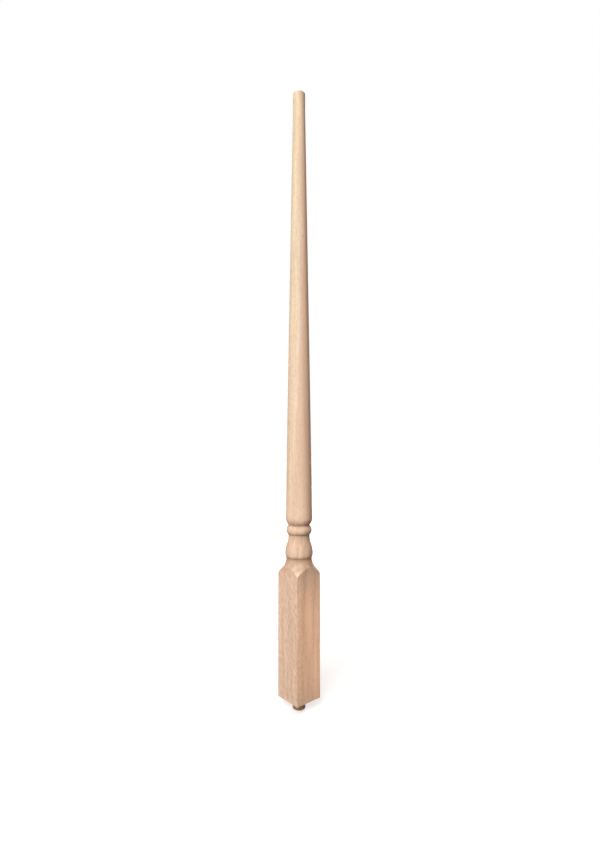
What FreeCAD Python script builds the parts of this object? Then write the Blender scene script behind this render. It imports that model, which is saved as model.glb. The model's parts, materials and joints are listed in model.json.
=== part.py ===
import FreeCAD, Part
import math
import os

import Sketcher

# A pin-top stair baluster, turned between centres from one square stick of wood.
# Lengths are in millimetres. The origin is the middle of the block's lower face, which sits on the tread,
# and +Z runs up the axis of the turning.

# Name in the sheet, value, and what it measures. Rises are taken one above the other, from the block upwards.
SIZES = [
    ("overall_length", 914.4, "whole stick, from the end of the bottom pin to the end of the top pin"),
    ("stick_width", 44.45, "across the flats of the square stick"),
    ("arris_radius", 0.6, "easing of the stick's four long edges"),
    ("bottom_pin_diameter", 19.05, "dowel pin that goes into the tread"),
    ("bottom_pin_length", 16.0, "dowel pin, below the block"),
    ("bottom_pin_chamfer", 1.5, "lead-in on the end of the dowel pin"),
    ("block_height", 181.8, "square block, up to where the shoulder starts at its corners"),
    ("roll_rise", 8.5, "rounded part of the shoulder"),
    ("cove_rise", 18.2, "hollow part of the shoulder"),
    ("vase_base_rise", 5.7, "from the crease over the shoulder to the vase's widest ring"),
    ("vase_swell_rise", 15.7, "full part of the vase above its widest ring"),
    ("vase_hollow_rise", 10.0, "hollow part of the vase below its neck"),
    ("neck_rise", 2.5, "straight neck between vase and bead"),
    ("bead_rise", 13.2, "bead"),
    ("quirk_rise", 1.3, "narrow groove between bead and shank"),
    ("foot_rise", 10.5, "rounded foot of the shank"),
    ("top_pin_length", 28.0, "straight top of the shank, which goes into the rail"),
    ("neck_diameter", 31.8, "neck and groove, the floor that the mouldings stand on"),
    ("vase_projection", 4.7, "widest ring of the vase, out from the neck"),
    ("crease_depth", 1.7, "crease under the vase, in from its widest ring"),
    ("bead_projection", 3.1, "crown of the bead, out from the neck"),
    ("foot_projection", 4.0, "foot of the shank, out from the neck"),
    ("top_pin_diameter", 18.4, "straight top of the shank"),
    ("top_pin_chamfer", 1.6, "eased edge of the top end"),
    ("centre_mark_diameter", 4.5, "mouth of the cone that a lathe centre leaves in each end"),
    ("centre_mark_depth", 4.0, "depth of that cone"),
    ("run_out", 2.0, "how far a cutting tool passes beyond the wood"),
]

# Radii of the turning, as formulas on the sheet
AXIS = "0"
CORNER = "sizes.stick_width / sqrt(2)"
SWING = f"{CORNER} + sizes.run_out"
BOTTOM_PIN = "sizes.bottom_pin_diameter / 2"
NECK = "sizes.neck_diameter / 2"
WIDEST = f"{NECK} + sizes.vase_projection"
CREASE = f"{WIDEST} - sizes.crease_depth"
FOOT = f"{NECK} + sizes.foot_projection"
TOP_PIN = "sizes.top_pin_diameter / 2"
MARK = "sizes.centre_mark_diameter / 2"
BEAD_CURVE = "(sizes.bead_rise ^ 2 / 4 + sizes.bead_projection ^ 2) / (2 * sizes.bead_projection)"

# Heights of the turning, as formulas on the sheet
TREAD = "0"
SHOULDER_AT = "sizes.block_height"
ROLL_TOP_AT = f"{SHOULDER_AT} + sizes.roll_rise"
CREASE_AT = f"{ROLL_TOP_AT} + sizes.cove_rise"
WIDEST_AT = f"{CREASE_AT} + sizes.vase_base_rise"
SWELL_TOP_AT = f"{WIDEST_AT} + sizes.vase_swell_rise"
NECK_AT = f"{SWELL_TOP_AT} + sizes.vase_hollow_rise"
BEAD_AT = f"{NECK_AT} + sizes.neck_rise"
QUIRK_AT = f"{BEAD_AT} + sizes.bead_rise"
SHANK_AT = f"{QUIRK_AT} + sizes.quirk_rise"
FOOT_AT = f"{SHANK_AT} + sizes.foot_rise"
TOP_END = "sizes.overall_length - sizes.bottom_pin_length"
TOP_PIN_AT = f"{TOP_END} - sizes.top_pin_length"
BOTTOM_END = "-sizes.bottom_pin_length"

# A sketch counts the points of a line or arc from 1, and its own origin is the start of item -1
START, END, CENTRE = range(1, 4)
ORIGIN = -START


def fill_sheet(doc):
    """Write the driving dimensions into the document's sheet, each under its own name."""
    sheet = doc.addObject("Spreadsheet::Sheet", "sizes")
    for row, (alias, value, meaning) in enumerate(SIZES, 1):
        sheet.set(f"A{row}", alias)
        sheet.set(f"B{row}", str(value))
        sheet.set(f"C{row}", meaning)
        sheet.setAlias(f"B{row}", alias)
    doc.recompute()


def new_sketch(body, name, plane_role):
    """An empty sketch on one of the body's own origin planes."""
    sketch = body.newObject("Sketcher::SketchObject", name)
    plane = next(item for item in body.Origin.OriginFeatures if item.Role == plane_role)
    sketch.AttachmentSupport = [(plane, "")]
    sketch.MapMode = "FlatFace"
    return sketch


def dimension(sketch, formula, kind, *points):
    """Add a dimension to the sketch and bind it to a formula on the sheet."""
    value = float(sketch.evalExpression(formula))
    index = sketch.addConstraint(Sketcher.Constraint(kind, *points, value))
    sketch.setExpression(f"Constraints[{index}]", formula)


class Outline:
    """A closed outline on the body's XZ plane, drawn piece by piece. A corner is two formulas: radius and height."""

    def __init__(self, body, name):
        self.sketch = new_sketch(body, name, "XZ_Plane")
        self.first = None
        self.last = None

    def point(self, corner):
        """Where the sheet's present values put a corner."""
        radius, height = (float(self.sketch.evalExpression(formula)) for formula in corner)
        return FreeCAD.Vector(radius, height, 0)

    def pin(self, piece, end, corner):
        """Dimension one end of a piece from the sketch's origin."""
        radius, height = corner
        dimension(self.sketch, radius, "DistanceX", ORIGIN, START, piece, end)
        dimension(self.sketch, height, "DistanceY", ORIGIN, START, piece, end)

    def follow(self, piece, first, last, join="Coincident"):
        """Hang a piece on the end of the piece before it."""
        if self.last is None:
            self.first = (piece, first)
        else:
            self.sketch.addConstraint(Sketcher.Constraint(join, *self.last, piece, first))
        self.last = (piece, last)

    def line(self, start, end, join="Coincident"):
        """A straight piece from corner to corner."""
        piece = self.sketch.addGeometry(Part.LineSegment(self.point(start), self.point(end)))
        self.follow(piece, START, END, join)
        if join == "Coincident":
            self.pin(piece, START, start)

    def polyline(self, *corners):
        """Straight pieces through corners."""
        for start, end in zip(corners, corners[1:]):
            self.line(start, end)

    def arc(self, centre, start, end):
        """Draw an arc anticlockwise round a centre, between two points that are known by value."""
        radius = centre.distanceToPoint(start)
        circle = Part.Circle(centre, FreeCAD.Vector(0, 0, 1), radius)
        angles = [math.atan2(point.y - centre.y, point.x - centre.x) for point in (start, end)]
        if angles[1] <= angles[0]:
            angles[1] += 2 * math.pi
        return self.sketch.addGeometry(Part.ArcOfCircle(circle, *angles))

    def upright(self, piece, end):
        """Make an arc stand upright at one of its ends: its centre lies level with that end."""
        self.sketch.addConstraint(Sketcher.Constraint("Horizontal", piece, CENTRE, piece, end))

    def quarter(self, start, end):
        """A full curve from corner to corner that stands upright at its upper end."""
        low, high = self.point(start), self.point(end)
        out, rise = high.x - low.x, high.y - low.y
        radius = (out**2 + rise**2) / (2 * out)
        piece = self.arc(FreeCAD.Vector(high.x - radius, high.y, 0), low, high)
        self.follow(piece, START, END)
        self.pin(piece, START, start)
        return piece

    def bead(self, start, end, curve):
        """A full curve between two corners, with a formula for its radius."""
        low, high = self.point(start), self.point(end)
        radius = float(self.sketch.evalExpression(curve))
        half = (high.y - low.y) / 2
        centre = FreeCAD.Vector(low.x - math.sqrt(radius**2 - half**2), low.y + half, 0)
        piece = self.arc(centre, low, high)
        self.follow(piece, START, END)
        self.pin(piece, START, start)
        dimension(self.sketch, curve, "Radius", piece)

    def ogee(self, start, end, turn_at):
        """A full curve that runs smoothly into a hollow at the height turn_at, upright at both ends."""
        low, high = self.point(start), self.point(end)
        full_rise = float(self.sketch.evalExpression(turn_at)) - low.y
        hollow_rise = high.y - low.y - full_rise
        lean = 2 * math.atan2(low.x - high.x, high.y - low.y)
        full_centre = low - FreeCAD.Vector(full_rise / math.sin(lean), 0, 0)
        hollow_centre = high + FreeCAD.Vector(hollow_rise / math.sin(lean), 0, 0)
        share = full_rise / (full_rise + hollow_rise)
        turn = full_centre + (hollow_centre - full_centre) * share
        full = self.arc(full_centre, low, turn)
        self.follow(full, START, END)
        self.pin(full, START, start)
        hollow = self.arc(hollow_centre, high, turn)
        self.follow(hollow, END, START, "Tangent")
        self.upright(full, START)
        self.upright(hollow, START)
        dimension(self.sketch, turn_at, "DistanceY", ORIGIN, START, full, END)

    def close(self):
        """Join the last piece to the first."""
        self.sketch.addConstraint(Sketcher.Constraint("Coincident", *self.last, *self.first))
        return self.sketch


def turn_off(body, sketch, name):
    """Turn the wood inside an outline off the body, all round the axis."""
    body.Document.recompute()
    before = body.Shape.Volume
    groove = body.newObject("PartDesign::Groove", name)
    groove.Profile = sketch
    groove.ReferenceAxis = (sketch, ["V_Axis"])
    groove.Angle = 360
    body.Document.recompute()
    if not 0 < body.Shape.Volume < before:
        raise RuntimeError(f"{name} took no wood off")


def square_stick(body):
    """The sawn stick, square across the axis, with its four long edges eased."""
    sketch = new_sketch(body, "stick_section", "XY_Plane")
    sketch.setExpression("AttachmentOffset.Base.z", BOTTOM_END)
    half = float(sketch.evalExpression("sizes.stick_width")) / 2
    corners = [FreeCAD.Vector(x, y, 0) for x, y in ((-half, -half), (half, -half), (half, half), (-half, half))]
    sides = [sketch.addGeometry(Part.LineSegment(corners[i - 1], corners[i])) for i in range(len(corners))]
    for index, side in enumerate(sides):
        sketch.addConstraint(Sketcher.Constraint("Coincident", sides[index - 1], END, side, START))
        direction = "Vertical" if index % 2 == 0 else "Horizontal"
        sketch.addConstraint(Sketcher.Constraint(direction, side))
    sketch.addConstraint(Sketcher.Constraint("Symmetric", sides[0], END, sides[2], END, ORIGIN, START))
    dimension(sketch, "sizes.stick_width", "Distance", sides[0])
    dimension(sketch, "sizes.stick_width", "Distance", sides[1])
    stick = body.newObject("PartDesign::Pad", "stick")
    stick.Profile = sketch
    stick.setExpression("Length", "sizes.overall_length")
    body.Document.recompute()
    long_edges = [
        f"Edge{number}"
        for number, edge in enumerate(stick.Shape.Edges, 1)
        if round(abs(edge.tangentAt(edge.FirstParameter).z)) == 1
    ]
    arrises = body.newObject("PartDesign::Fillet", "eased_arrises")
    arrises.Base = (stick, long_edges)
    arrises.setExpression("Radius", "sizes.arris_radius")


def turned_length(body):
    """Shoulder, vase, bead, shank and top pin, turned in one pass from the block to the top end."""
    past_end = f"{TOP_END} + sizes.run_out"
    past_chamfer = f"{TOP_PIN} - sizes.top_pin_chamfer - sizes.run_out"
    outline = Outline(body, "turned_outline")
    outline.line((SWING, SHOULDER_AT), (CORNER, SHOULDER_AT))
    outline.ogee((CORNER, SHOULDER_AT), (CREASE, CREASE_AT), ROLL_TOP_AT)
    vase_base = outline.quarter((CREASE, CREASE_AT), (WIDEST, WIDEST_AT))
    outline.upright(vase_base, END)
    outline.ogee((WIDEST, WIDEST_AT), (NECK, NECK_AT), SWELL_TOP_AT)
    outline.line((NECK, NECK_AT), (NECK, BEAD_AT))
    outline.bead((NECK, BEAD_AT), (NECK, QUIRK_AT), BEAD_CURVE)
    outline.line((NECK, QUIRK_AT), (NECK, SHANK_AT))
    foot = outline.quarter((NECK, SHANK_AT), (FOOT, FOOT_AT))
    outline.pin(foot, END, (FOOT, FOOT_AT))
    outline.line((FOOT, FOOT_AT), (TOP_PIN, TOP_PIN_AT), "Tangent")
    outline.polyline(
        (TOP_PIN, TOP_PIN_AT),
        (TOP_PIN, f"{TOP_END} - sizes.top_pin_chamfer"),
        (past_chamfer, past_end),
        (SWING, past_end),
        (SWING, SHOULDER_AT),
    )
    turn_off(body, outline.close(), "turned_length")


def bottom_pin(body):
    """The dowel pin, turned under the block's flat seat, with a chamfered end."""
    past_end = f"{BOTTOM_END} - sizes.run_out"
    past_chamfer = f"{BOTTOM_PIN} - sizes.bottom_pin_chamfer - sizes.run_out"
    outline = Outline(body, "bottom_pin_outline")
    outline.polyline(
        (BOTTOM_PIN, TREAD),
        (BOTTOM_PIN, f"{BOTTOM_END} + sizes.bottom_pin_chamfer"),
        (past_chamfer, past_end),
        (SWING, past_end),
        (SWING, TREAD),
        (BOTTOM_PIN, TREAD),
    )
    turn_off(body, outline.close(), "bottom_pin")


def centre_mark(body, name, end, inwards):
    """The small cone that a lathe centre leaves in the middle of an end; inwards is the sign of the way in."""
    outwards = "-" if inwards == "+" else "+"
    past_end = f"{end} {outwards} sizes.run_out"
    outline = Outline(body, f"{name}_outline")
    outline.polyline(
        (AXIS, f"{end} {inwards} sizes.centre_mark_depth"),
        (MARK, end),
        (MARK, past_end),
        (AXIS, past_end),
        (AXIS, f"{end} {inwards} sizes.centre_mark_depth"),
    )
    turn_off(body, outline.close(), name)


def check(doc, body):
    """Stop if any object of the document failed, or the body isn't one sound solid."""
    for item in doc.Objects:
        if {"Invalid", "Error"} & set(item.State):
            raise RuntimeError(f"{item.Name} failed: {item.State}")
    if body.Shape.isNull() or not body.Shape.isValid() or len(body.Shape.Solids) != 1:
        raise RuntimeError(f"{body.Label} is not one sound solid")


def main():
    doc = FreeCAD.newDocument("stair_baluster")
    fill_sheet(doc)
    body = doc.addObject("PartDesign::Body", "baluster")
    body.Label = "baluster"
    square_stick(body)
    turned_length(body)
    bottom_pin(body)
    centre_mark(body, "top_centre_mark", TOP_END, "-")
    centre_mark(body, "bottom_centre_mark", BOTTOM_END, "+")
    doc.recompute()
    check(doc, body)
    os.makedirs("parts", exist_ok=True)
    body.Shape.exportStep(f"parts/{body.Label}.step")
    box = body.Shape.BoundBox
    print(f"{body.Label}: {body.Shape.Volume / 1000:.1f} cm3, from z {box.ZMin:.2f} to {box.ZMax:.2f} mm")


main()
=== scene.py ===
import json
import math

import bmesh
import bpy
from bpy.props import FloatProperty, FloatVectorProperty, PointerProperty
from bpy.types import Operator, Panel, PropertyGroup
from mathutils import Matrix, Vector


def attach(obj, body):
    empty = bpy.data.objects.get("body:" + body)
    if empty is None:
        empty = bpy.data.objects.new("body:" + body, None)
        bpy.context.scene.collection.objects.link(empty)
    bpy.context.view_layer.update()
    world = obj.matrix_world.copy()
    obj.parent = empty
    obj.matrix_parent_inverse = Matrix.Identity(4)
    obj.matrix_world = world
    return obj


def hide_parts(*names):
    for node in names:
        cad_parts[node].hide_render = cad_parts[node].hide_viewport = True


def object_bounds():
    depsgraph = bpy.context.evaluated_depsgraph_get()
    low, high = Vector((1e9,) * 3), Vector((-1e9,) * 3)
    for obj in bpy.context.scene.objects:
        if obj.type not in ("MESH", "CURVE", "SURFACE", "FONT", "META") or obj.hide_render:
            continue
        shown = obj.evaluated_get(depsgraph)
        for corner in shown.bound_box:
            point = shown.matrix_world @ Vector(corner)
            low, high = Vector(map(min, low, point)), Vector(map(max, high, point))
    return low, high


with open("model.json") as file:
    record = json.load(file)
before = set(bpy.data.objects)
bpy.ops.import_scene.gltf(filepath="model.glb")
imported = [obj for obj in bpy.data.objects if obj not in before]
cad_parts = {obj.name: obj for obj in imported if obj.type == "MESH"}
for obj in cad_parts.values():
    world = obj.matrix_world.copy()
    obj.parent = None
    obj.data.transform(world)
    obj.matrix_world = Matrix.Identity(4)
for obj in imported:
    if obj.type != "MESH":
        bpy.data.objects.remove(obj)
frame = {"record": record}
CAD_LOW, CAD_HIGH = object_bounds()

bl_info = {
    "name": "Turned Stair Baluster",
    "version": (1, 0, 0),
    "blender": (4, 5, 0),
    "location": "3D View > Sidebar > Baluster",
    "description": "Turns a square-block stair baluster in plain beech and sets it on a pale stage",
    "category": "Object",
}

MM = 0.001
FULL_TURN = 2 * math.pi
RIGHT_ANGLE = math.pi / 2
BLOCK_SIDES = 4
SIDE_TO_CORNER = 0.5

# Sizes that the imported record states
MOUNTS = {mount["name"]: mount for mount in frame["record"]["mounts"]}
STICK_HALF = CAD_HIGH.x
BOTTOM_PIN_RADIUS = MOUNTS["bottom_pin"]["dims"]["r_mm"] * MM
TOP_PIN_RADIUS = MOUNTS["top_pin"]["dims"]["r_mm"] * MM
TOP_PIN_AT = MOUNTS["top_pin"]["pos_m"][2]
BOTTOM_PIN_EASE = -CAD_LOW.z - MOUNTS["bottom_pin"]["dims"]["length_mm"] * MM

# Fineness of the turned mesh
COLUMNS = 128
COVE_STEPS = 12
BEAD_STEPS = 20
TAPER_STEPS = 30
EASE_STEPS = 4
WELD = 1e-6
NEAR = 1e-5
ARRIS_TURNS = (22.5, 45.0, 67.5)
SMOOTH_ANGLE = math.radians(28)


def length(name, description, default):
    """A property for a length in metres."""
    return FloatProperty(name=name, description=description, default=default, min=0, unit="LENGTH",
                         precision=5)


def colour(name, description, default):
    """A property for a colour."""
    return FloatVectorProperty(name=name, description=description, default=default, subtype="COLOR",
                               min=0, max=1)


def share(name, description, default):
    """A property for a share between nothing and all."""
    return FloatProperty(name=name, description=description, default=default, min=0, max=1,
                         subtype="FACTOR")


def angle(name, description, default):
    """A property for an angle, whose default is given in degrees."""
    return FloatProperty(name=name, description=description, default=math.radians(default),
                         subtype="ANGLE")


def power(name, description, default):
    """A property for a lamp's power in watts."""
    return FloatProperty(name=name, description=description, default=default, min=0, unit="POWER")


def number(name, description, default):
    """A property for a plain number."""
    return FloatProperty(name=name, description=description, default=default, min=0)


class BalusterSizes(PropertyGroup):
    """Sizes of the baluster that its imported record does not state."""

    block_height: length("Block Height", "Square block up to the shoulder at its corners", 0.1818)
    run_out: length("Run-out", "How far the turning stands outside the block's corners", 0.002)
    arris: length("Arris", "Radius of the block's eased long edges", 0.0006)
    seat_ease: length("Seat Ease", "Width of the broken edge round the block's lower end", 0.0004)
    roll_rise: length("Roll Rise", "Height of the shoulder's round upper edge", 0.0085)
    cove_rise: length("Cove Rise", "Height of the hollow over the shoulder", 0.0182)
    vase_base_rise: length("Vase Base Rise", "Height of the vase under its widest place", 0.0057)
    vase_swell_rise: length("Vase Swell Rise", "Height of the vase's round body", 0.0157)
    vase_hollow_rise: length("Vase Hollow Rise", "Height of the hollow up to the neck", 0.0100)
    neck_rise: length("Neck Rise", "Straight neck under the bead", 0.0025)
    bead_rise: length("Bead Rise", "Height of the bead", 0.0132)
    quirk_rise: length("Quirk Rise", "Narrow groove over the bead", 0.0013)
    foot_rise: length("Foot Rise", "Height of the shank's rounded foot", 0.0105)
    neck_radius: length("Neck Radius", "Radius of the neck and the groove", 0.0159)
    vase_projection: length("Vase Projection", "How far the vase stands out of the neck", 0.0047)
    crease_depth: length("Crease Depth", "How far the crease under the vase cuts in", 0.0017)
    bead_projection: length("Bead Projection", "How far the bead stands out of the neck", 0.0031)
    foot_projection: length("Foot Projection", "How far the foot stands out of the neck", 0.0040)
    top_ease: length("Top Ease", "Radius of the rounded edge at the top", 0.0020)
    mark_radius: length("Centre Mark Radius", "Radius of the lathe's marks in both ends", 0.00225)
    mark_depth: length("Centre Mark Depth", "Depth of the lathe's marks in both ends", 0.0040)


class BeechLook(PropertyGroup):
    """Colours and figure of the beech."""

    cream: colour("Cream Sapwood", "Pale wood up one side of the shank", (0.750, 0.650, 0.455))
    pink: colour("Pink Heartwood", "Most of the stick's wood", (0.785, 0.572, 0.420))
    # The sapwood edge's pale colour is partly a painted highlight streak up the shank
    edge: colour("Sapwood Edge", "Palest wood, where the sapwood ends", (0.860, 0.770, 0.620))
    late: colour("Late Wood", "Dark layers, streaks and mottles", (0.510, 0.350, 0.253))
    # The flecks' colour also paints shade into the creases and onto the pin
    fleck: colour("Flecks", "Ray flecks, pores and burnished creases", (0.380, 0.225, 0.135))
    ring_width: length("Ring Width", "Usual width of a year's growth", 0.0027)
    pith_distance: length("Pith Distance", "From the tree's middle to the stick", 0.085)
    ring_turn: angle("Ring Turn", "Way that the rings face, from the X axis", -28)
    slope: number("Slope of Grain", "How far the grain leans along the stick", 0.006)
    roughness: share("Roughness", "Roughness of the sanded wood", 0.48)
    gloss: share("Gloss", "Strength of the bare wood's sheen", 0.06)


class StageLook(PropertyGroup):
    """Camera, light and floor."""

    camera_distance: length("Camera Distance", "From the baluster's axis to the camera", 0.7669)
    camera_height: length("Camera Height", "Camera over the block's lower end", 0.3944)
    camera_aside: length("Camera Aside", "Camera to the right of the axis", 0.00145)
    camera_turn: angle("Camera Turn", "Way from the axis to the camera, from the X axis", -40.55)
    lens: FloatProperty(name="Lens", description="Focal length on a 36 mm frame", default=21.454,
                        subtype="DISTANCE_CAMERA")
    key_power: power("Key Power", "Lamp before the baluster, high at the left", 915.0)
    strip_power: power("Strip Power", "Tall narrow lamp at the left of the camera", 59.0)
    fill_power: power("Fill Power", "Weak warm lamp near at the right", 1.0)
    low_power: power("Low Power", "Small warm lamp beside the block", 0.0185)
    side_power: power("Side Power", "Warm lamp at the left", 22.0)
    back_power: power("Back Power", "Lamp behind the baluster, at the right", 84.0)
    key_colour: colour("Key Colour", "Light of the strong lamps", (1.0, 1.0, 1.0))
    warm_colour: colour("Warm Colour", "Light of the weak lamps", (1.0, 0.76, 0.52))
    around: colour("Light Around", "Weak light from all sides", (0.10, 0.045, 0.03))
    floor: colour("Floor", "Pale floor as the wood sees it", (0.12, 0.12, 0.12))


class Socket:
    """An output of a node. Python's operators on it add Math nodes."""

    def __init__(self, nodes, link):
        self.nodes = nodes
        self.link = link

    def __add__(self, other):
        return self.nodes.math("ADD", self, other)

    __radd__ = __add__

    def __sub__(self, other):
        return self.nodes.math("SUBTRACT", self, other)

    def __rsub__(self, other):
        return self.nodes.math("SUBTRACT", other, self)

    def __mul__(self, other):
        return self.nodes.math("MULTIPLY", self, other)

    __rmul__ = __mul__

    def __truediv__(self, other):
        return self.nodes.math("DIVIDE", self, other)

    def __rtruediv__(self, other):
        return self.nodes.math("DIVIDE", other, self)

    def __pow__(self, other):
        return self.nodes.math("POWER", self, other)


NOISE_MIDDLE = 0.5


class Nodes:
    """The nodes of one material or of the world."""

    def __init__(self, tree):
        self.tree = tree
        tree.nodes.clear()

    def add(self, kind, settings=None, sockets=None):
        """Add a node: its settings first, then a value or a link for each socket named."""
        node = self.tree.nodes.new(kind)
        for name, value in (settings or {}).items():
            setattr(node, name, value)
        inputs = {socket.identifier: socket for socket in node.inputs}
        for name, value in (sockets or {}).items():
            if isinstance(value, Socket):
                self.tree.links.new(value.link, inputs[name])
            else:
                inputs[name].default_value = value
        return {socket.identifier: Socket(self, socket) for socket in node.outputs}

    def math(self, operation, first, second=0.0):
        """A Math node on one or two values."""
        sockets = {"Value": first, "Value_001": second}
        return self.add("ShaderNodeMath", {"operation": operation}, sockets)["Value"]

    def vector(self, x, y, z):
        """A vector from three values."""
        return self.add("ShaderNodeCombineXYZ", None, {"X": x, "Y": y, "Z": z})["Vector"]

    def figure(self, place, size):
        """A place counted in the width, depth and length of a figure."""
        return self.vector(*(way / step for way, step in zip(place, size)))

    def grain(self, place, figure):
        """Soft noise of a figure's size and detail, mostly within a sixth of nothing."""
        *size, detail = figure
        sockets = {"Vector": self.figure(place, size), "Scale": 1.0, "Detail": detail}
        return self.add("ShaderNodeTexNoise", None, sockets)["Fac"] - NOISE_MIDDLE

    def wander(self, along, far, over, seed):
        """Noise along a line to both sides of nothing: how far, over what length, and its seed."""
        sockets = {"W": along / over + seed, "Scale": 1.0, "Detail": 1.0}
        noise = self.add("ShaderNodeTexNoise", {"noise_dimensions": "1D"}, sockets)["Fac"]
        return far * (noise - NOISE_MIDDLE)

    def cells(self, place, size):
        """Cells of a size, with the distance to each one's point and a colour of its own."""
        sockets = {"Vector": self.figure(place, size), "Scale": 1.0}
        return self.add("ShaderNodeTexVoronoi", None, sockets)

    def fade(self, value, start, end):
        """A soft step from nothing at start to all at end."""
        sockets = {"Value": value, "From Min": start, "From Max": end}
        settings = {"interpolation_type": "SMOOTHSTEP"}
        return self.add("ShaderNodeMapRange", settings, sockets)["Result"]

    def ebb(self, value, start, end):
        """A soft step from all at start to nothing at end."""
        return 1.0 - self.fade(value, start, end)

    def blend(self, factor, first, second):
        """One colour going over to another."""
        sockets = {"Factor_Float": factor, "A_Color": first, "B_Color": second}
        settings = {"data_type": "RGBA", "clamp_factor": True}
        return self.add("ShaderNodeMix", settings, sockets)["Result_Color"]


def rgba(tint):
    """A colour property with its fourth number, as a node's socket takes it."""
    return (*tint, 1.0)


def crease_heights(sizes):
    """Heights of the creases under the vase and on both sides of the bead."""
    crease = sizes.block_height + sizes.roll_rise + sizes.cove_rise
    neck = crease + sizes.vase_base_rise + sizes.vase_swell_rise + sizes.vase_hollow_rise
    under_bead = neck + sizes.neck_rise
    return crease, under_bead, under_bead + sizes.bead_rise + sizes.quirk_rise / 2


# Figures of the wood: how wide, deep and long they are in mm, and their detail
RIPPLE = (12.0, 12.0, 60.0, 2.0)
BAND = (6.0, 8.0, 110.0, 2.0)
FIBRE = (0.8, 0.8, 22.0, 3.0)
MOTTLE = (4.0, 3.0, 6.5, 1.0)
PORE = (0.24, 0.24, 3.4, 1.0)
TONGUE = (5.0, 5.0, 24.0, 2.0)
VEIN = (2.2, 2.2, 18.0, 1.0)

# Cells that hold one ray or one speck each: how wide, deep and long they are in mm
RAY_CELL = (2.2, 1.1, 5.5)
SPECK_CELL = (6.0, 6.0, 13.0)

# Figures along a line: how far they go, over how many mm, and their seed
GRAIN_OUTWARDS = (5.0, 140.0, 3.1)
GRAIN_SIDEWAYS = (6.0, 170.0, 41.7)
LAYERS = (0.4, 3.0, 7.9)
YEAR_WIDTHS = (1.2, 9.0, 15.3)

# Year rings: how far they ripple in mm, how late in the year they darken, and the weakest one's share
RIPPLE_DEPTH = 3.0
LATE_POWER = 3.0
LATE_ENDS = (0.92, 1.0)
LATE_LEAST = 0.2

# Noise or distance at which pores, rays and specks show, and the share of the cells without a speck
PORE_SHOWS = (0.12, 0.22)
RAY_SHOWS = (0.14, 0.48)
SPECK_SHOWS = (0.05, 0.20)
SPECK_NONE = 0.7

# Rays lean this far out and aside for each mm up. Mottles calm down on one side and on the turning
RAY_LEAN = (0.30, 0.16)
CALM_ACROSS = (-12.0, 12.0)
CALM_SIDE = 0.6
CALM_TURNED = 0.65

# Painted shade in the creases under the vase and by the bead: how dark, how far in mm. Also beside them,
# on the pin
CREASE_PAINTED_SHADE = ((0.50, 3.8), (0.12, 2.6), (0.18, 2.6))
CREASE_CORE = 0.3
BESIDE_PAINTED_SHADE = 0.2
BESIDE_WIDTH = 8.0
PIN_PAINTED_SHADE = 0.95
PIN_ENDS = (-1.5, 0.0)

# Painted highlight on the V at the block's corners, in mm: from the axis, inside the flats, over the
# seat
CORNER_SWING = (25.0, 30.0)
CORNER_INSIDE = (0.0, 0.6)
CORNER_FROM = (1.0, 2.0)

# Heights in mm over the block, over the groove, and below the crease under the vase
TURNED_FROM = (-4.0, 20.0)
MOULDED_TO = (1.75, 17.75)
HOLLOW_FROM = (-2.0, 0.0)
HOLLOW_TO = (2.0, 26.0)

# The sapwood's boundary in mm: where it bends away, how slowly, how far aside, how ragged and how soft
SAP_BENDS_AT = 640.0
SAP_BEND = 102.0
SAP_ASIDE = 1.0
SAP_BAND = 6.0
SAP_TONGUE = 12.0
SAP_VEIN = 45.0
SAP_SOFT = (-2.0, 2.0)
EDGE_INSIDE = 2.2
EDGE_SOFT = (0.8, 2.6)

# Heights in mm at which the sapwood, its edge and its veins come and go
SAP_FROM = (262.0, 300.0)
SAP_CREAM = (400.0, 780.0)
EDGE_FROM = (300.0, 440.0)
EDGE_TO = (640.0, 780.0)
VEIN_FROM = (600.0, 740.0)

# The mouldings' own streaks: how far up the stick their figure is taken from, and where they are cream
SWIRL_SHIFT = 333.6
SWIRL_PALE = (-0.12, 0.04)

# How cream the sapwood is at its foot, the streaks in the mouldings, the edge (partly a painted
# highlight) and the corners (a painted highlight)
SAP_LEAST = 0.35
SWIRL_CREAM = 0.45
EDGE_HIGHLIGHT_STRENGTH = 0.5
CORNER_HIGHLIGHT_STRENGTH = 0.8

# How much each figure goes over to late wood
BLOCK_SHADE = 0.43
TURNED_PALER = 0.23
MOULDED_SHADE = 0.25
# Painted shade in the hollow under the vase
HOLLOW_PAINTED_SHADE = 0.5
BAND_SHADE = 1.3
BAND_PALER = 0.5
LATE_SHADE = 0.15
FIBRE_SHADE = 0.10
MOTTLE_SHADE = 1.2
SWIRL_SHADE = 0.5

# How much rays, pores and specks go over to the flecks' colour
RAY_SHADE = 0.13
RAY_SAP_SHADE = 0.15
PORE_SHADE = 0.08
SPECK_SHADE = 0.5

# How much the figure changes the roughness and the height, and the relief of the surface
FIBRE_ROUGH = 0.14
RAY_SLEEK = 0.07
PORE_ROUGH = 0.12
FIBRE_RISE = 0.5
PORE_DROP = 0.8
LATE_RISE = 0.15
RELIEF_STRENGTH = 0.15
RELIEF_DEPTH = 0.06 * MM


def place_in_tree(nodes, look, spot):
    """Where a spot of the stick lay in the tree, in mm, along a grain that leans and wanders."""
    in_tree = nodes.add("ShaderNodeMapping", None, {
        "Vector": spot,
        "Location": (look.pith_distance / MM, 0.0, 0.0),
        "Rotation": (0.0, 0.0, -look.ring_turn),
        "Scale": (1 / MM,) * 3,
    })["Vector"]
    parts = nodes.add("ShaderNodeSeparateXYZ", None, {"Vector": in_tree})
    z = parts["Z"]
    x = parts["X"] + look.slope * z + nodes.wander(z, *GRAIN_OUTWARDS)
    y = parts["Y"] + nodes.wander(z, *GRAIN_SIDEWAYS)
    return x, y, z


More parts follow.
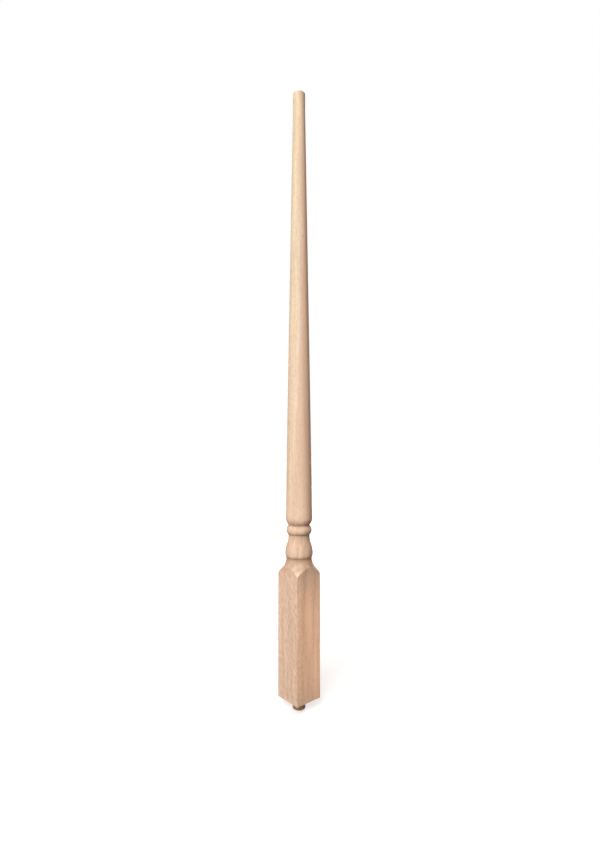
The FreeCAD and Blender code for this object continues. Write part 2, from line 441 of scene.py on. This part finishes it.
def year_rings(nodes, look, place):
    """Layers of pale and dark wood, and the thin dark end of each year."""
    x, y, _ = place
    radius = nodes.math("SQRT", x * x + y * y)
    depth = radius + RIPPLE_DEPTH * nodes.grain(place, RIPPLE)
    layer = nodes.wander(depth, *LAYERS)
    age = depth / (look.ring_width / MM) + nodes.wander(radius, *YEAR_WIDTHS)
    season = nodes.math("FRACT", age)
    year = nodes.math("FLOOR", age)
    chance = nodes.add("ShaderNodeTexWhiteNoise", {"noise_dimensions": "1D"}, {"W": year})["Value"]
    strength = LATE_LEAST + (1.0 - LATE_LEAST) * chance
    late = season ** LATE_POWER * nodes.ebb(season, *LATE_ENDS) * strength
    return layer, late


def slanting_rays(nodes, place, turned):
    """Mottles of rays cut at a slant, and in them the dark dashes of single rays."""
    x, y, z = place
    slanted = (x + RAY_LEAN[0] * z, y + RAY_LEAN[1] * z, z)
    mottle = nodes.grain(slanted, MOTTLE)
    mottle = mottle * (1.0 - CALM_SIDE * nodes.fade(y, *CALM_ACROSS)) * (1.0 - CALM_TURNED * turned)
    ray = nodes.ebb(nodes.cells(slanted, RAY_CELL)["Distance"], *RAY_SHOWS)
    return mottle, ray


def brown_specks(nodes, place):
    """Small specks in some of their cells."""
    cell = nodes.cells(place, SPECK_CELL)
    chance = nodes.add("ShaderNodeSeparateColor", None, {"Color": cell["Color"]})["Red"]
    return nodes.math("GREATER_THAN", chance, SPECK_NONE) * nodes.ebb(cell["Distance"], *SPECK_SHOWS)


def painted_crease_and_pin_shade(nodes, sizes, z):
    """Painted shade on the pin under the block and in the creases, and a little on both sides of the
    creases.
    """
    painted_dark = PIN_PAINTED_SHADE * nodes.ebb(z, *PIN_ENDS)
    for height, (most, width) in zip(crease_heights(sizes), CREASE_PAINTED_SHADE):
        away = nodes.math("ABSOLUTE", z - height / MM)
        painted_dark = painted_dark + most * nodes.ebb(away, CREASE_CORE, width)
        painted_dark = painted_dark + BESIDE_PAINTED_SHADE * nodes.ebb(away, 0.0, BESIDE_WIDTH)
    return painted_dark


def painted_corner_highlight(nodes, spot, z):
    """Painted highlight on the block's corners, where the turning runs out over them."""
    stick = nodes.add("ShaderNodeSeparateXYZ", None, {"Vector": spot})
    one_way = nodes.math("ABSOLUTE", stick["X"])
    other_way = nodes.math("ABSOLUTE", stick["Y"])
    inside = (STICK_HALF - nodes.math("MAXIMUM", one_way, other_way)) / MM
    swing = nodes.math("SQRT", one_way * one_way + other_way * other_way) / MM
    corner = nodes.fade(swing, *CORNER_SWING) * nodes.fade(inside, *CORNER_INSIDE)
    return corner * nodes.fade(z, *CORNER_FROM)


def sapwood(nodes, place, band):
    """The sapwood, along one side of the shank and gone before the mouldings, and its pale edge, which
    is partly a painted highlight streak.
    """
    _, y, z = place
    fall = nodes.math("MAXIMUM", SAP_BENDS_AT - z, 0.0) / SAP_BEND
    beyond = y + fall * fall + SAP_ASIDE + SAP_BAND * band
    vein = nodes.grain(place, VEIN) * nodes.fade(z, *VEIN_FROM)
    ragged = beyond + SAP_TONGUE * nodes.grain(place, TONGUE) + SAP_VEIN * vein
    sap = nodes.ebb(ragged, *SAP_SOFT) * nodes.fade(z, *SAP_FROM)
    edge = nodes.ebb(nodes.math("ABSOLUTE", beyond + EDGE_INSIDE), *EDGE_SOFT)
    edge = edge * nodes.fade(z, *EDGE_FROM) * nodes.ebb(z, *EDGE_TO)
    return sap, edge


def beech_wood(look, sizes):
    """Sanded beech with its year rings, streaks, ray flecks and pores, and painted shade and highlights,
    worked out in millimetres.
    """
    material = bpy.data.materials.new("sanded_beech")
    material.use_nodes = True
    nodes = Nodes(material.node_tree)
    spot = nodes.add("ShaderNodeTexCoord")["Object"]
    place = place_in_tree(nodes, look, spot)
    x, y, z = place

    # The turning, its mouldings, and the hollow under the vase: end grain shows in them, and the
    # hollow's extra dark is painted shade under the vase
    under_vase, _, groove = crease_heights(sizes)
    turned = nodes.fade(z - sizes.block_height / MM, *TURNED_FROM)
    moulded = turned * nodes.ebb(z - groove / MM, *MOULDED_TO)
    under = under_vase / MM - z
    hollow = nodes.fade(under, *HOLLOW_FROM) * nodes.ebb(under, *HOLLOW_TO)

    # The figure, from broad bands along the grain to single fibres and pores
    layer, late = year_rings(nodes, look, place)
    band = nodes.grain(place, BAND)
    swirl = nodes.grain((x, y, z + SWIRL_SHIFT), TONGUE)
    fibre = nodes.grain(place, FIBRE)
    pore = nodes.fade(nodes.grain(place, PORE), *PORE_SHOWS)
    mottle, ray = slanting_rays(nodes, place, turned)
    sap, edge = sapwood(nodes, place, band)

    # Colour: pink and cream wood, late wood over it, then flecks, specks and painted shade on the pin
    # and in the creases
    cream = sap * (SAP_LEAST + (1.0 - SAP_LEAST) * nodes.fade(z, *SAP_CREAM))
    cream = cream + SWIRL_CREAM * moulded * nodes.ebb(swirl, *SWIRL_PALE)
    wood = nodes.blend(cream, rgba(look.pink), rgba(look.cream))
    # Pale sapwood edge, partly a painted highlight streak
    wood = nodes.blend(EDGE_HIGHLIGHT_STRENGTH * edge, wood, rgba(look.edge))
    shade = BLOCK_SHADE - TURNED_PALER * turned + MOULDED_SHADE * moulded + HOLLOW_PAINTED_SHADE * hollow
    shade = shade + (BAND_SHADE - BAND_PALER * turned) * band + layer + LATE_SHADE * late
    shade = shade + FIBRE_SHADE * fibre + MOTTLE_SHADE * mottle + SWIRL_SHADE * moulded * swirl
    wood = nodes.blend(shade, wood, rgba(look.late))
    # Painted highlight: cream on the V at the block's corners
    wood = nodes.blend(CORNER_HIGHLIGHT_STRENGTH * painted_corner_highlight(nodes, spot, z), wood, rgba(look.cream))
    flecks = (RAY_SHADE + RAY_SAP_SHADE * sap) * ray + PORE_SHADE * pore
    wood = nodes.blend(flecks, wood, rgba(look.fleck))
    wood = nodes.blend(SPECK_SHADE * turned * brown_specks(nodes, place), wood, rgba(look.fleck))
    # Painted shade on the pin and in the creases, with the mouldings' own streaks
    wood = nodes.blend(painted_crease_and_pin_shade(nodes, sizes, z) + moulded * swirl, wood, rgba(look.fleck))

    rough = look.roughness + FIBRE_ROUGH * fibre - RAY_SLEEK * ray + PORE_ROUGH * pore
    relief = FIBRE_RISE * fibre - PORE_DROP * pore + LATE_RISE * late
    surface = nodes.add("ShaderNodeBump", None, {
        "Strength": RELIEF_STRENGTH, "Distance": RELIEF_DEPTH, "Height": relief})["Normal"]
    finish = nodes.add("ShaderNodeBsdfPrincipled", None, {
        "Base Color": wood, "Roughness": rough, "Specular IOR Level": look.gloss,
        "Normal": surface})["BSDF"]
    nodes.add("ShaderNodeOutputMaterial", None, {"Surface": finish})
    return material


def arc(centre, radius, start, end, steps):
    """Points on an arc after its first one, between two angles from the outward way."""
    turns = [start + (end - start) * step / steps for step in range(1, steps + 1)]
    return [(centre[0] + radius * math.cos(turn), centre[1] + radius * math.sin(turn))
            for turn in turns]


def ogee(start, inner, swell_rise, hollow_rise):
    """A swell and a hollow that flow into each other, upright at both ends."""
    outer, height = start
    lean = 2 * math.atan((outer - inner) / (swell_rise + hollow_rise))
    swell = swell_rise / math.sin(lean)
    hollow = hollow_rise / math.sin(lean)
    top = height + swell_rise + hollow_rise
    return (arc((outer - swell, height), swell, 0.0, lean, COVE_STEPS)
            + arc((inner + hollow, top), hollow, math.pi + lean, math.pi, COVE_STEPS))


def bulge(start, end, lean):
    """A convex arc up and out to an end where it leans inwards by an angle."""
    out = Vector((end[0] - start[0], end[1] - start[1]))
    normal = Vector((math.cos(lean), math.sin(lean)))
    radius = out.length_squared / (2 * out.dot(normal))
    centre = (end[0] - radius * normal.x, end[1] - radius * normal.y)
    first = math.atan2(start[1] - centre[1], start[0] - centre[0])
    return arc(centre, radius, first, lean, COVE_STEPS)


def bead(radius, start, rise, projection):
    """A bead between two heights at one radius."""
    curve = (rise * rise / 4 + projection * projection) / (2 * projection)
    half = math.asin(rise / 2 / curve)
    return arc((radius + projection - curve, start + rise / 2), curve, -half, half, BEAD_STEPS)


def turned_outline(sizes):
    """Radius and height along the turning, from the seat's middle up to the top's centre mark."""
    neck = sizes.neck_radius
    widest = neck + sizes.vase_projection
    crease = widest - sizes.crease_depth
    foot = neck + sizes.foot_projection
    corner = STICK_HALF * math.sqrt(2)
    swing = corner + sizes.run_out
    points = [(0.0, 0.0), (sizes.mark_radius, 0.0), (BOTTOM_PIN_RADIUS, 0.0), (swing, 0.0),
              (swing, sizes.block_height), (corner, sizes.block_height)]

    # Shoulder, vase and bead
    points += ogee(points[-1], crease, sizes.roll_rise, sizes.cove_rise)
    height = points[-1][1] + sizes.vase_base_rise
    points += bulge(points[-1], (widest, height), 0.0)
    points += ogee(points[-1], neck, sizes.vase_swell_rise, sizes.vase_hollow_rise)
    height = points[-1][1] + sizes.neck_rise
    points.append((neck, height))
    points += bead(neck, height, sizes.bead_rise, sizes.bead_projection)
    height = points[-1][1] + sizes.quirk_rise
    points.append((neck, height))

    # Shank, top pin and the lathe's mark in its end
    height += sizes.foot_rise
    lean = math.atan((foot - TOP_PIN_RADIUS) / (TOP_PIN_AT - height))
    points += bulge(points[-1], (foot, height), lean)
    for step in range(1, TAPER_STEPS + 1):
        part = step / TAPER_STEPS
        points.append((foot + (TOP_PIN_RADIUS - foot) * part, height + (TOP_PIN_AT - height) * part))
    top = CAD_HIGH.z
    ease = sizes.top_ease
    points.append((TOP_PIN_RADIUS, top - ease))
    points += arc((TOP_PIN_RADIUS - ease, top - ease), ease, 0.0, RIGHT_ANGLE, EASE_STEPS)
    points += [(sizes.mark_radius, top), (0.0, top - sizes.mark_depth)]
    return points


def draw_and_spin(name, points):
    """Draw an outline as one extruded line from the origin, and spin it round the Z axis."""
    bpy.ops.object.select_all(action="DESELECT")
    bpy.ops.mesh.primitive_plane_add(size=STICK_HALF)
    piece = bpy.context.object
    piece.name = piece.data.name = name
    bpy.ops.object.mode_set(mode="EDIT")
    bpy.ops.mesh.select_all(action="SELECT")
    bpy.ops.mesh.merge(type="CENTER")
    for here, there in zip(points, points[1:]):
        move = (there[0] - here[0], 0.0, there[1] - here[1])
        bpy.ops.mesh.extrude_vertices_move(TRANSFORM_OT_translate={"value": move})
    bpy.ops.mesh.select_all(action="SELECT")
    bpy.ops.mesh.spin(steps=COLUMNS, angle=FULL_TURN, center=(0, 0, 0), axis=(0, 0, 1))
    bpy.ops.mesh.select_all(action="SELECT")
    bpy.ops.mesh.remove_doubles(threshold=WELD)
    bpy.ops.mesh.select_all(action="SELECT")
    bpy.ops.mesh.normals_make_consistent(inside=False)
    return piece


def saw(place, outward):
    """Saw off all that lies outside a plane and close the cut."""
    bpy.ops.mesh.select_all(action="SELECT")
    bpy.ops.mesh.bisect(plane_co=place, plane_no=outward, use_fill=True, clear_outer=True,
                        threshold=WELD)


def heading(turn):
    """A level direction at an angle from the X axis."""
    return Vector((math.cos(turn), math.sin(turn), 0.0))


def saw_block(sizes):
    """Saw the four flats of the block, then ease its long edges and its lower end."""
    for side in range(BLOCK_SIDES):
        outward = heading(side * RIGHT_ANGLE)
        saw(outward * STICK_HALF, outward)
    inset = STICK_HALF - sizes.arris
    for side in range(BLOCK_SIDES):
        middle = heading((side + SIDE_TO_CORNER) * RIGHT_ANGLE) * inset * math.sqrt(2)
        for turn in ARRIS_TURNS:
            outward = heading(side * RIGHT_ANGLE + math.radians(turn))
            saw(middle + outward * sizes.arris, outward)
    for side in range(BLOCK_SIDES):
        outward = heading(side * RIGHT_ANGLE)
        saw(outward * (STICK_HALF - sizes.seat_ease), outward - Vector((0.0, 0.0, 1.0)))


def pick(piece, kind, test):
    """Select only the vertices, edges or faces whose every vertex passes a test."""
    bpy.ops.mesh.select_all(action="DESELECT")
    bpy.ops.mesh.select_mode(type=kind)
    mesh = bmesh.from_edit_mesh(piece.data)
    parts = {"VERT": mesh.verts, "EDGE": mesh.edges, "FACE": mesh.faces}[kind]
    for part in parts:
        corners = [part] if kind == "VERT" else part.verts
        if all(test(corner.co) for corner in corners):
            part.select_set(True)
    bmesh.update_edit_mesh(piece.data)
    if not any(part.select for part in parts):
        raise RuntimeError("nothing to select on " + piece.name)


def bottom_pin(piece, sizes):
    """Draw the pin out of the block's seat, ease its end and press in the lathe's mark."""
    low = CAD_LOW.z

    def on_seat(co):
        return abs(co.z) < NEAR and co.xy.length < BOTTOM_PIN_RADIUS + NEAR

    def on_rim(co):
        return abs(co.z - low) < NEAR and co.xy.length > BOTTOM_PIN_RADIUS - NEAR

    def at_mark(co):
        return abs(co.z - low) < NEAR and co.xy.length < NEAR

    pick(piece, "FACE", on_seat)
    bpy.ops.mesh.extrude_region_move(TRANSFORM_OT_translate={"value": (0.0, 0.0, low)})
    pick(piece, "EDGE", on_rim)
    bpy.ops.mesh.bevel(offset=BOTTOM_PIN_EASE, segments=EASE_STEPS, affect="EDGES")
    pick(piece, "VERT", at_mark)
    bpy.ops.transform.translate(value=(0.0, 0.0, sizes.mark_depth))


def smooth_shading(piece):
    """Shade the curves smooth and keep the creases and the flats crisp."""
    bpy.ops.object.mode_set(mode="OBJECT")
    bpy.ops.object.shade_smooth_by_angle(angle=SMOOTH_ANGLE)
    modifier = piece.modifiers.new("flat_faces_lead", "WEIGHTED_NORMAL")
    modifier.keep_sharp = True
    bpy.ops.object.modifier_apply(modifier=modifier.name)


class BALUSTER_OT_turn(Operator):
    """Turn the baluster, saw its block, draw out its pin and give it its wood"""

    bl_idname = "baluster.turn"
    bl_label = "Turn Baluster"

    def execute(self, context):
        sizes = context.scene.baluster_sizes
        piece = draw_and_spin("turned_baluster", turned_outline(sizes))
        saw_block(sizes)
        bottom_pin(piece, sizes)
        smooth_shading(piece)
        piece.data.materials.append(beech_wood(context.scene.beech_look, sizes))
        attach(piece, "root")
        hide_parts("baluster")
        return {"FINISHED"}


# Floor as the camera sees it: its size, its glow and paint, and how far off the glow goes over to white
FLOOR_SIZE = 12.0
FLOOR_GLOW = (0.61, 0.61, 0.61, 1.0)
FLOOR_SEEN = (0.45, 0.45, 0.45, 1.0)
FLOOR_NEAR = 0.35
FLOOR_FAR = 1.3
WHITE = (1.0, 1.0, 1.0, 1.0)

# Lamps: degrees round from the camera and up, distance and height of their aim, size, degrees of spread
KEY = (-14, 47, 10.0, 0.44, (4.50, 4.50), 180)
STRIP = (-35, 3, 3.0, 0.44, (0.24, 2.20), 180)
FILL = (40, 18, 1.0, 0.24, (0.30, 0.30), 180)
LOW = (58, 0, 0.6, 0.088, (0.10, 0.16), 12)
SIDE = (-95, 30, 4.0, 0.44, (0.80, 0.80), 180)
BACK = (160, 10, 3.0, 0.44, (0.80, 0.80), 180)


def seen_directly(nodes):
    """Whether a ray comes from the camera, or from a mirror or glass that the camera sees."""
    path = nodes.add("ShaderNodeLightPath")
    seen = path["Is Camera Ray"] + path["Is Glossy Ray"] + path["Is Transmission Ray"]
    return nodes.math("MINIMUM", seen, 1.0)


def floor_paint(look):
    """Dim to the wood, and to the camera white but for the baluster's shadow."""
    material = bpy.data.materials.new("pale_floor")
    material.use_nodes = True
    nodes = Nodes(material.node_tree)
    spot = nodes.add("ShaderNodeTexCoord")["Object"]
    away = nodes.add("ShaderNodeVectorMath", {"operation": "LENGTH"}, {"Vector": spot})["Value"]
    tint = nodes.blend(nodes.fade(away, FLOOR_NEAR, FLOOR_FAR), FLOOR_GLOW, WHITE)
    glow = nodes.add("ShaderNodeEmission", None, {"Color": tint})["Emission"]
    paint = nodes.add("ShaderNodeBsdfDiffuse", None, {"Color": FLOOR_SEEN})["BSDF"]
    lit = nodes.add("ShaderNodeAddShader", None, {"Shader": paint, "Shader_001": glow})["Shader"]
    dim = nodes.add("ShaderNodeBsdfDiffuse", None, {"Color": rgba(look.floor)})["BSDF"]
    both = nodes.add("ShaderNodeMixShader", None, {
        "Fac": seen_directly(nodes), "Shader": dim, "Shader_001": lit})["Shader"]
    nodes.add("ShaderNodeOutputMaterial", None, {"Surface": both})
    return material


def studio_world(look):
    """Weak light on the wood, and a white background for the camera."""
    world = bpy.data.worlds.new("studio")
    world.use_nodes = True
    nodes = Nodes(world.node_tree)
    dim = nodes.add("ShaderNodeBackground", None, {"Color": rgba(look.around)})["Background"]
    white = nodes.add("ShaderNodeBackground", None, {"Color": WHITE})["Background"]
    both = nodes.add("ShaderNodeMixShader", None, {
        "Fac": seen_directly(nodes), "Shader": dim, "Shader_001": white})["Shader"]
    nodes.add("ShaderNodeOutputWorld", None, {"Surface": both})
    return world


def lamp(name, turn, place, watts, tint):
    """A soft rectangular lamp that faces a point on the baluster's axis and isn't seen itself."""
    round_by, up, distance, height, size, spread = place
    turn += math.radians(round_by)
    rise = math.radians(up)
    toward = heading(turn) * math.cos(rise) + Vector((0.0, 0.0, math.sin(rise)))
    bpy.ops.object.light_add(type="AREA", location=Vector((0.0, 0.0, height)) + toward * distance,
                             rotation=toward.to_track_quat("Z", "Y").to_euler())
    light = bpy.context.object
    light.name = light.data.name = name
    light.visible_camera = False
    light.data.shape = "RECTANGLE"
    light.data.size, light.data.size_y = size
    light.data.spread = math.radians(spread)
    light.data.energy = watts
    light.data.color = tint
    return light


def around_axis(turn, distance, height):
    """A place at an angle, a distance from the axis and a height."""
    return heading(turn) * distance + Vector((0.0, 0.0, height))


class BALUSTER_OT_stage(Operator):
    """Set up the floor, the lamps, the world and the camera"""

    bl_idname = "baluster.stage"
    bl_label = "Set Stage"

    def execute(self, context):
        look = context.scene.stage_look
        bpy.ops.object.select_all(action="DESELECT")
        bpy.ops.mesh.primitive_plane_add(size=FLOOR_SIZE, location=(0.0, 0.0, CAD_LOW.z))
        floor = context.object
        floor.name = floor.data.name = "floor"
        floor.data.materials.append(floor_paint(look))

        turn = look.camera_turn
        lamp("key", turn, KEY, look.key_power, look.key_colour)
        lamp("strip", turn, STRIP, look.strip_power, look.key_colour)
        lamp("fill", turn, FILL, look.fill_power, look.warm_colour)
        lamp("low", turn, LOW, look.low_power, look.warm_colour)
        lamp("side", turn, SIDE, look.side_power, look.warm_colour)
        back = lamp("back", turn, BACK, look.back_power, look.key_colour)
        # Its glint would eat into the outline
        back.visible_glossy = False
        context.scene.world = studio_world(look)

        place = around_axis(turn, look.camera_distance, look.camera_height)
        place += heading(turn + RIGHT_ANGLE) * look.camera_aside
        bpy.ops.object.camera_add(location=place, rotation=(RIGHT_ANGLE, 0.0, turn + RIGHT_ANGLE))
        camera = context.object
        camera.data.lens = look.lens
        context.scene.camera = camera
        context.scene.view_settings.view_transform = "Standard"
        return {"FINISHED"}


class VIEW3D_PT_baluster(Panel):
    """Sizes, colours and steps of the baluster"""

    bl_label = "Turned Baluster"
    bl_space_type = "VIEW_3D"
    bl_region_type = "UI"
    bl_category = "Baluster"

    def draw(self, context):
        scene = context.scene
        for group in (scene.baluster_sizes, scene.beech_look, scene.stage_look):
            for name in group.__annotations__:
                self.layout.prop(group, name)
        self.layout.operator(BALUSTER_OT_turn.bl_idname)
        self.layout.operator(BALUSTER_OT_stage.bl_idname)


CLASSES = (BalusterSizes, BeechLook, StageLook, BALUSTER_OT_turn, BALUSTER_OT_stage,
           VIEW3D_PT_baluster)


def register():
    for made in CLASSES:
        bpy.utils.register_class(made)
    bpy.types.Scene.baluster_sizes = PointerProperty(type=BalusterSizes)
    bpy.types.Scene.beech_look = PointerProperty(type=BeechLook)
    bpy.types.Scene.stage_look = PointerProperty(type=StageLook)


def unregister():
    del bpy.types.Scene.stage_look
    del bpy.types.Scene.beech_look
    del bpy.types.Scene.baluster_sizes
    for made in reversed(CLASSES):
        bpy.utils.unregister_class(made)


def main():
    register()
    bpy.ops.baluster.turn()
    bpy.ops.baluster.stage()


if __name__ == "__main__":
    main()
